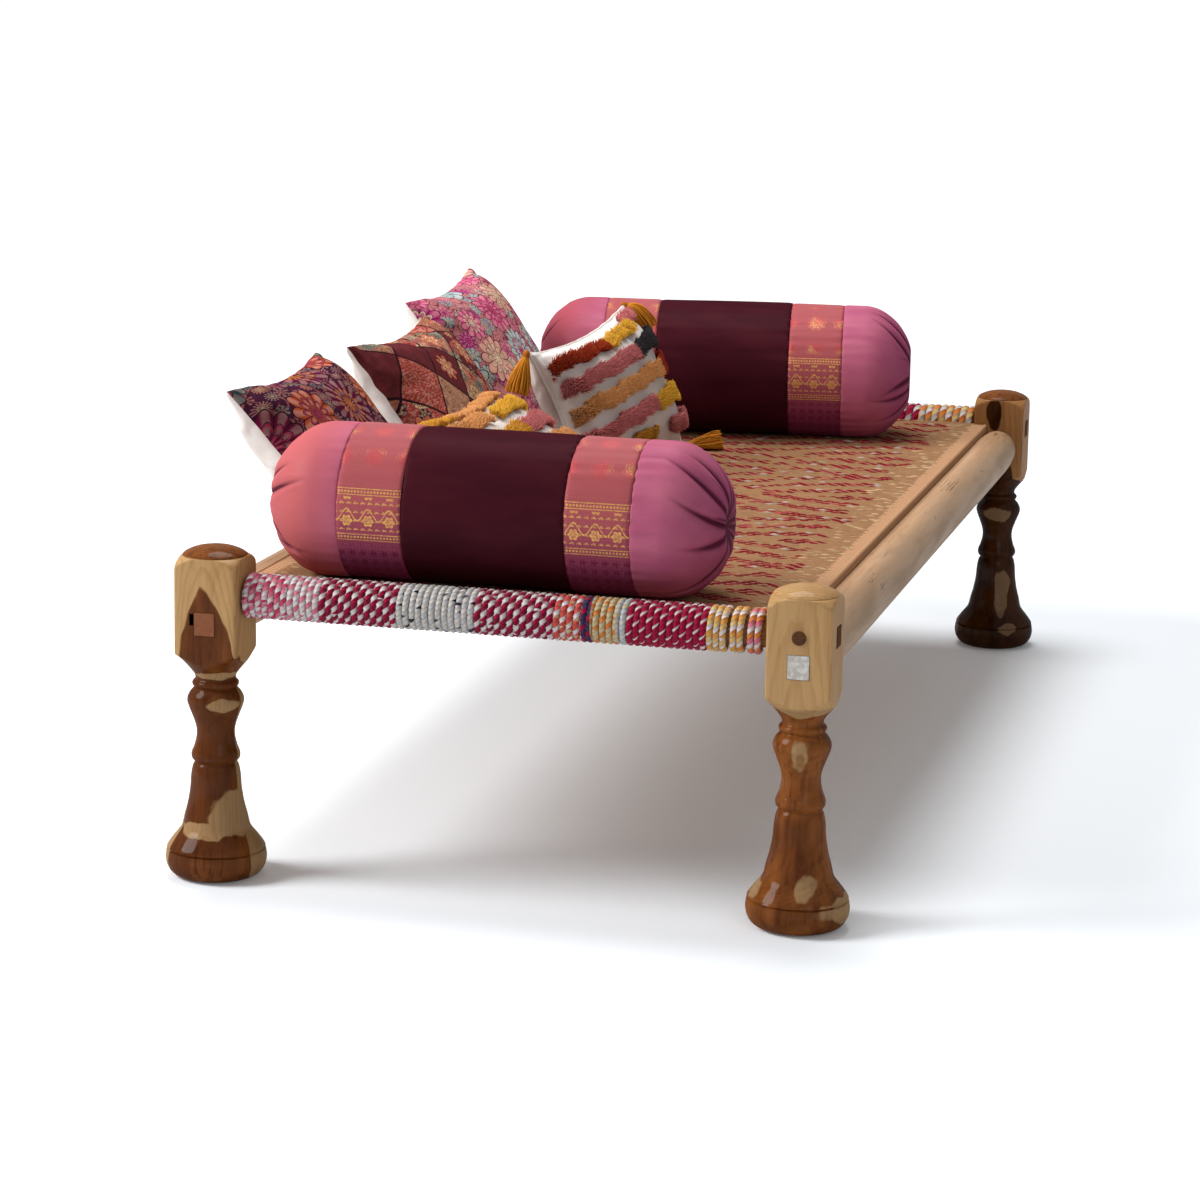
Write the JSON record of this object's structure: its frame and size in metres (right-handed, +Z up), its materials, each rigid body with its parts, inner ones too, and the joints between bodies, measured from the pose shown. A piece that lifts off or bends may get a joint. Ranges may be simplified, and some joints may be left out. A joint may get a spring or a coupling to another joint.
{
  "type": "charpai",
  "caption": "Low wooden day bed on turned legs, with rope-bound end rails, a woven rope bed, round bolsters and loose cushions.",
  "frame": {"origin": "on the floor, under the middle of the bed", "axes": "+X to the right of someone who stands at the foot of the bed, +Y along the bed away from them, +Z up"},
  "size_m": [0.9539, 1.959, 0.6843],
  "materials": {
    "lacquered_wood": "clear gloss lacquer over figured hardwood",
    "rail_wood": "smooth, dull, worn by use",
    "dark_wood": "oiled hardwood",
    "rope_pink": "two-tone twisted cotton rope",
    "rope_crimson": "two-tone twisted cotton rope",
    "rope_white": "twisted cotton rope with coloured flecks",
    "rope_mixed": "twisted cotton rope in several colours",
    "rope_yellow": "two-tone twisted cotton rope",
    "woven_rope": "close diamond weave of thin cotton rope",
    "satin_pink": "satin",
    "satin_burgundy": "satin",
    "brocade": "satin brocade with a gold woven border",
    "print_mandala": "printed cotton front, cream cotton back",
    "print_patchwork": "printed cotton front, cream cotton back",
    "print_floral": "printed cotton front, cream cotton back",
    "tufted_cotton": "plain cotton with rows of raised cut pile",
    "tassel_yarn": "soft cotton yarn"
  },
  "bodies": {
    "root": {"leg_front_left": "lacquered_wood", "leg_front_right": "lacquered_wood", "leg_back_left": "lacquered_wood", "leg_back_right": "lacquered_wood", "peg_front_right": "dark_wood", "peg_back_left": "dark_wood", "peg_back_right": "dark_wood", "wedge_front_left": "dark_wood", "side_rail_left": "rail_wood", "side_rail_right": "rail_wood", "end_rail_front": "dark_wood", "end_rail_back": "dark_wood", "rope_front_pink": "rope_pink", "rope_front_crimson_left": "rope_crimson", "rope_front_white": "rope_white", "rope_front_crimson_middle": "rope_crimson", "rope_front_mixed": "rope_mixed", "rope_front_crimson_right": "rope_crimson", "rope_front_yellow": "rope_yellow", "rope_front_orange": "rope_yellow", "rope_front_rose": "rope_pink", "rope_back_crimson": "rope_crimson", "rope_back_cream": "rope_white", "rope_back_yellow": "rope_yellow", "woven_bed": "woven_rope"},
    "bolster_front": {"bolster_front_centre": "satin_burgundy", "bolster_front_band_right": "brocade", "bolster_front_end_right": "satin_pink", "bolster_front_band_left": "brocade", "bolster_front_end_left": "satin_pink"},
    "bolster_back": {"bolster_back_centre": "satin_burgundy", "bolster_back_band_right": "brocade", "bolster_back_end_right": "satin_pink", "bolster_back_band_left": "brocade", "bolster_back_end_left": "satin_pink"},
    "cushion_mandala": {"cushion_mandala": "print_mandala"},
    "cushion_patchwork": {"cushion_patchwork": "print_patchwork"},
    "cushion_floral": {"cushion_floral": "print_floral"},
    "cushion_tufted_upright": {"cushion_tufted_upright": "tufted_cotton", "tassel_upright_near_top": "tassel_yarn", "tassel_upright_far_top": "tassel_yarn", "tassel_upright_near_foot": "tassel_yarn", "tassel_upright_far_foot": "tassel_yarn"},
    "cushion_tufted_low": {"cushion_tufted_low": "tufted_cotton", "tassel_low_near_top": "tassel_yarn", "tassel_low_far_top": "tassel_yarn", "tassel_low_near_foot": "tassel_yarn", "tassel_low_far_foot": "tassel_yarn"}
  },
  "joints": [
    {"name": "bolster_front_lift", "type": "slide", "parent": "root", "child": "bolster_front", "axis": [0, 0, 1], "range_m": [0, 0.25]},
    {"name": "bolster_back_lift", "type": "slide", "parent": "root", "child": "bolster_back", "axis": [0, 0, 1], "range_m": [0, 0.25]},
    {"name": "cushion_mandala_lift", "type": "slide", "parent": "root", "child": "cushion_mandala", "axis": [-0.6365, 0, 0.7712], "range_m": [0, 0.25]},
    {"name": "cushion_patchwork_lift", "type": "slide", "parent": "root", "child": "cushion_patchwork", "axis": [-0.5891, 0, 0.808], "range_m": [0, 0.25]},
    {"name": "cushion_floral_lift", "type": "slide", "parent": "root", "child": "cushion_floral", "axis": [-0.5646, 0, 0.8253], "range_m": [0, 0.25]},
    {"name": "cushion_tufted_upright_lift", "type": "slide", "parent": "root", "child": "cushion_tufted_upright", "axis": [0, 0, 1], "range_m": [0, 0.25]},
    {"name": "cushion_tufted_low_lift", "type": "slide", "parent": "root", "child": "cushion_tufted_low", "axis": [0, 0, 1], "range_m": [0, 0.25]}
  ]
}
